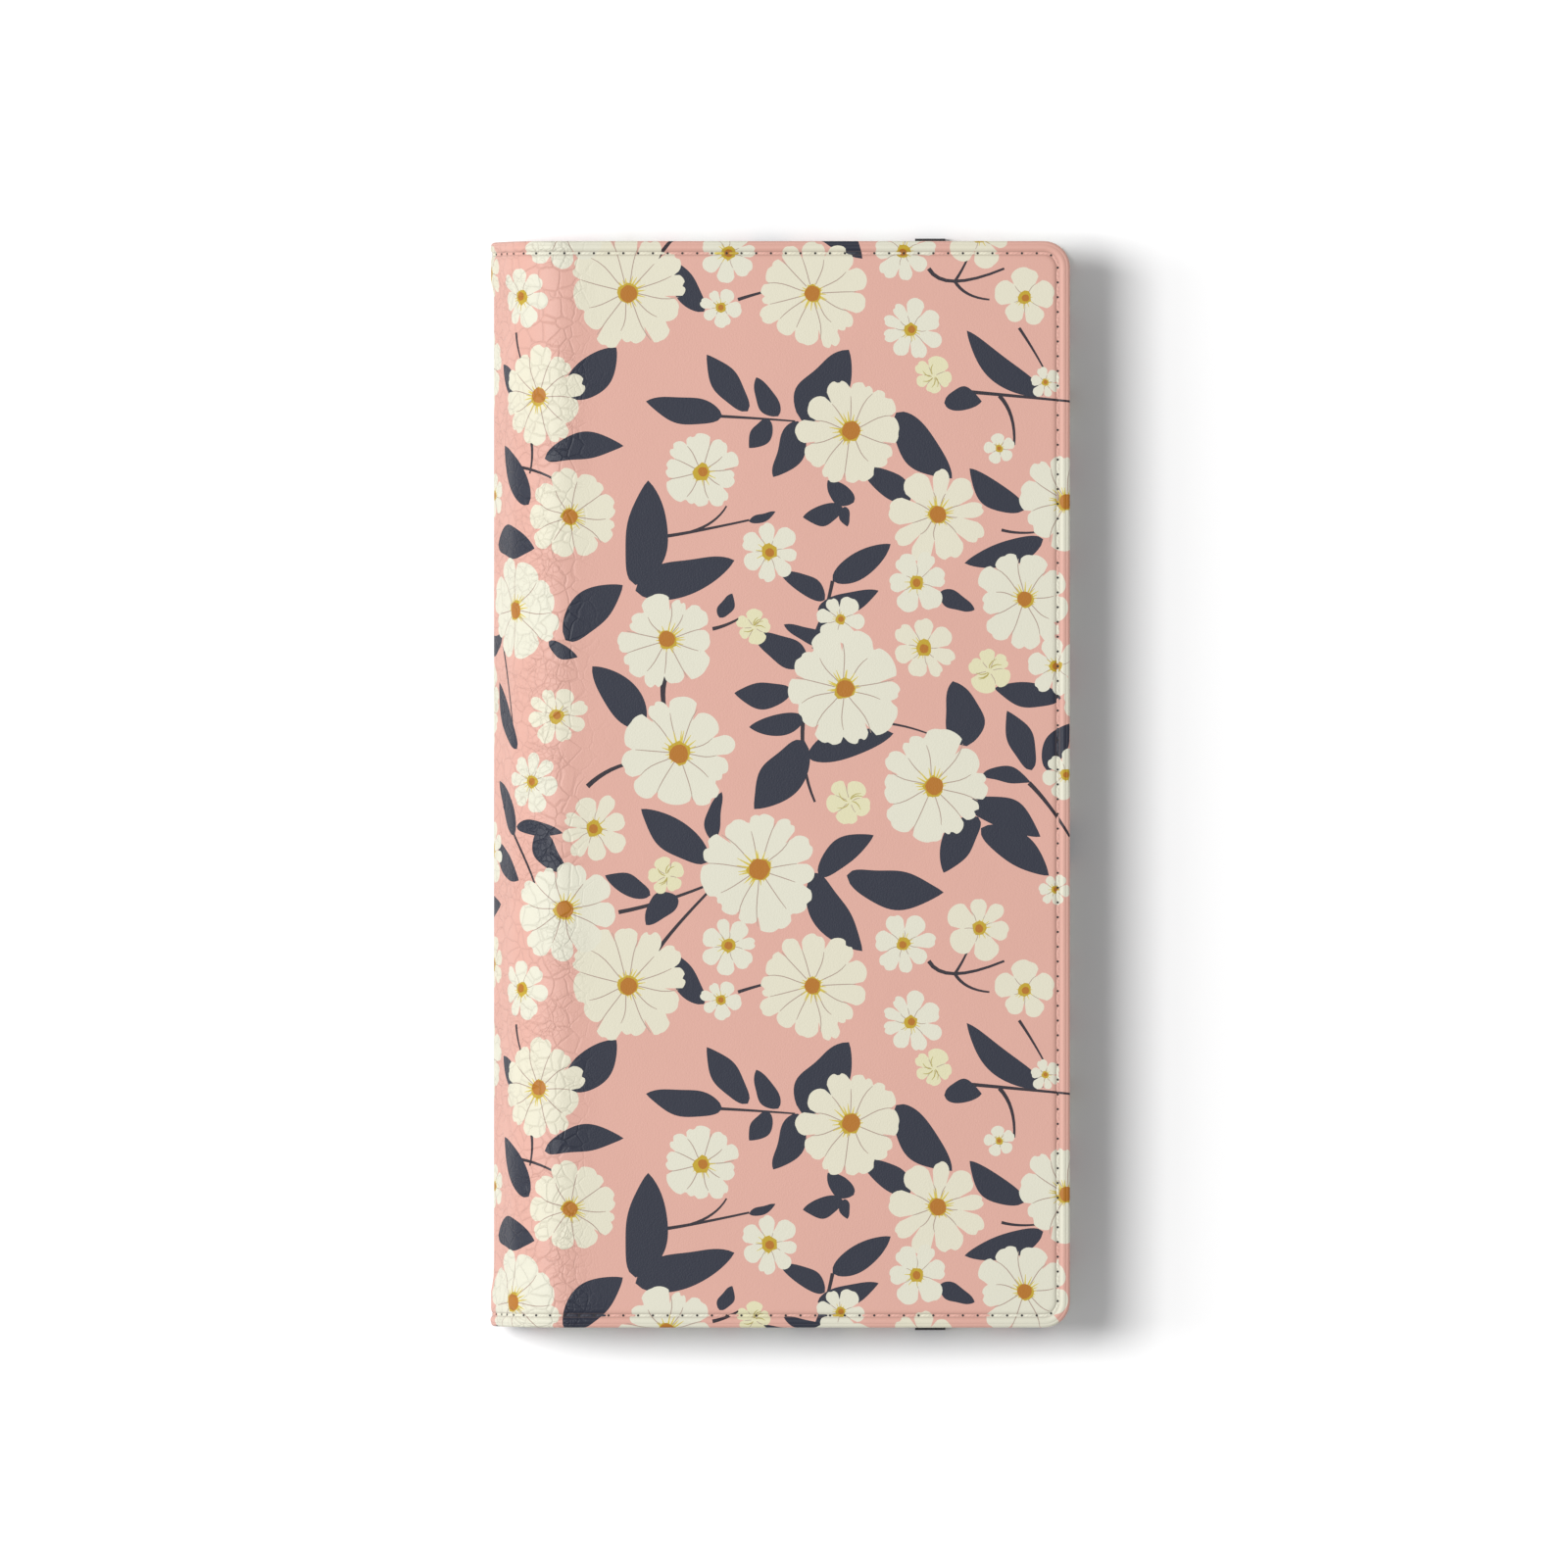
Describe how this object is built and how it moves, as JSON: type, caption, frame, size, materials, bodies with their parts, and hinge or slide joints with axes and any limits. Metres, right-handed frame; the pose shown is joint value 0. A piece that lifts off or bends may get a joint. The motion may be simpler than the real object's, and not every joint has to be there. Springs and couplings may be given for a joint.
{
  "type": "phone case",
  "caption": "Book-style phone case: printed leather-look cover folding on a soft spine, moulded phone tray, card pockets and an elastic closing band.",
  "frame": {"origin": "centre of the closed case's footprint, on the surface that its back lies on", "axes": "+X from the spine to the fore-edge, +Y towards the phone's top, +Z out of the front cover"},
  "size_m": [0.0816, 0.1552, 0.0176],
  "materials": {
    "printed_leather": "satin printed PU leather with a fine grain",
    "board": "matt grey board",
    "padding": "matt non-woven padding",
    "lining": "matt fine-grained lining",
    "pocket": "satin fine-grained leather",
    "tray": "satin moulded plastic",
    "adhesive": "matt double-sided sheet",
    "thread": "twisted polyester sewing thread",
    "dark_thread": "twisted polyester sewing thread",
    "elastic": "matt woven elastic"
  },
  "bodies": {
    "back": {"back_cover_skin": "printed_leather", "back_board": "board", "back_lining": "lining", "tray_adhesive_sheet": "adhesive", "phone_tray": "tray", "closing_band": "elastic", "back_needle_thread": "thread", "back_bobbin_thread": "dark_thread"},
    "spine": {"spine_skin": "printed_leather", "spine_padding": "padding", "spine_lining": "lining", "spine_needle_thread_top": "thread", "spine_needle_thread_bottom": "thread", "spine_bobbin_thread_top": "dark_thread", "spine_bobbin_thread_bottom": "dark_thread"},
    "front": {"front_cover_skin": "printed_leather", "front_board": "board", "front_lining": "lining", "front_needle_thread": "thread", "front_bobbin_thread": "dark_thread", "cash_pocket_panel": "pocket", "cash_pocket_thread": "dark_thread", "card_pocket_1_panel": "pocket", "card_pocket_2_panel": "pocket", "card_pocket_3_panel": "pocket", "card_pocket_1_thread_spine_side": "dark_thread", "card_pocket_1_thread_fore_side": "dark_thread", "card_pocket_2_thread_spine_side": "dark_thread", "card_pocket_2_thread_fore_side": "dark_thread", "card_pocket_3_thread": "dark_thread"}
  },
  "joints": [
    {"name": "back_hinge", "type": "hinge", "parent": "back", "child": "spine", "pos_m": [-0.04071, 0, 0.00225], "axis": [0, -1, 0], "range_deg": [0, 176]},
    {"name": "front_hinge", "type": "hinge", "parent": "spine", "child": "front", "pos_m": [-0.0357, 0, 0.01655], "axis": [0, -1, 0], "range_deg": [0, 176]}
  ]
}
